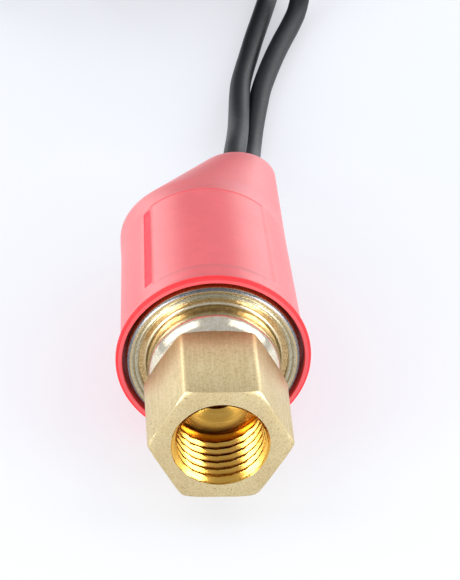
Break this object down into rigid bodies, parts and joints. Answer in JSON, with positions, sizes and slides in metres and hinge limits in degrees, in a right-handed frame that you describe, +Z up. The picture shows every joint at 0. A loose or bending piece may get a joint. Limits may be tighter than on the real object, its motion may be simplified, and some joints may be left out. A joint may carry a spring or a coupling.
{
  "type": "pressure switch",
  "caption": "Refrigerant pressure switch: threaded hexagon port, crimped steel cartridge with snap disc and contacts, soft boot and free leads with push-on terminals.",
  "frame": {"origin": "under the middle of the switch, on the surface that it lies on, leads left out", "axes": "+Y along the switch from the port's face to the boot's end, +Z up, +X towards the side that the boot's snout is offset to"},
  "size_m": [0.0498, 0.1614, 0.0249],
  "materials": {
    "brass": "turned, dull satin",
    "brazing": "heat tinted",
    "plated_steel": "yellow zinc plated",
    "spring_steel": "bright",
    "silver": "silver faced",
    "copper": "bright rolled copper alloy",
    "tinned_brass": "tin plated",
    "polyimide": "amber film",
    "nitrile": "matte",
    "phenolic": "moulded",
    "black_nylon": "moulded",
    "sealant": "cast",
    "red_vinyl": "soft, satin gloss",
    "black_vinyl": "extruded, satin",
    "natural_nylon": "milky, translucent in life"
  },
  "bodies": {
    "case": {"port_fitting": "brass", "braze_ring": "brazing", "pressure_cup": "plated_steel", "crimp_shell": "plated_steel", "pressure_gasket": "nitrile", "diaphragm": "polyimide", "disc_seat": "plated_steel", "snap_disc": "spring_steel", "switch_base": "phenolic", "common_terminal": "tinned_brass", "fixed_terminal": "tinned_brass", "common_rivet": "brass", "arm_spacer": "brass", "fixed_contact": "silver", "contact_cover": "black_nylon", "conductor_a": "copper", "conductor_b": "copper", "lead_seal": "sealant", "boot": "red_vinyl", "lead_a": "black_vinyl", "lead_b": "black_vinyl", "lead_a_coil": "black_vinyl", "lead_b_coil": "black_vinyl", "lead_a_tail": "black_vinyl", "lead_b_tail": "black_vinyl", "coil_tie_front": "black_nylon", "coil_tie_rear": "black_nylon", "receptacle_a": "tinned_brass", "receptacle_b": "tinned_brass", "sleeve_a": "natural_nylon", "sleeve_b": "natural_nylon"},
    "piston": {"pressure_piston": "spring_steel"},
    "pin": {"transfer_pin": "phenolic"},
    "arm": {"contact_arm": "copper", "moving_contact": "silver"}
  },
  "joints": [
    {"name": "piston_travel", "type": "slide", "parent": "case", "child": "piston", "axis": [0, 1, 0], "range_m": [0, 0.0004], "stiffness_N_per_m": 800, "deforming": ["snap_disc", "diaphragm"]},
    {"name": "pin_travel", "type": "slide", "parent": "case", "child": "pin", "axis": [0, 1, 0], "range_m": [0, 0.0004]},
    {"name": "arm_swing", "type": "hinge", "parent": "case", "child": "arm", "pos_m": [-0.0045, 0.00088, 0.0112], "axis": [0, 0, 1], "range_deg": [0, 5.2]}
  ],
  "couplings": [
    {"joint": "pin_travel", "follows": "piston_travel", "ratio": 1},
    {"joint": "arm_swing", "follows": "piston_travel", "rad_per_m": 222.2}
  ]
}
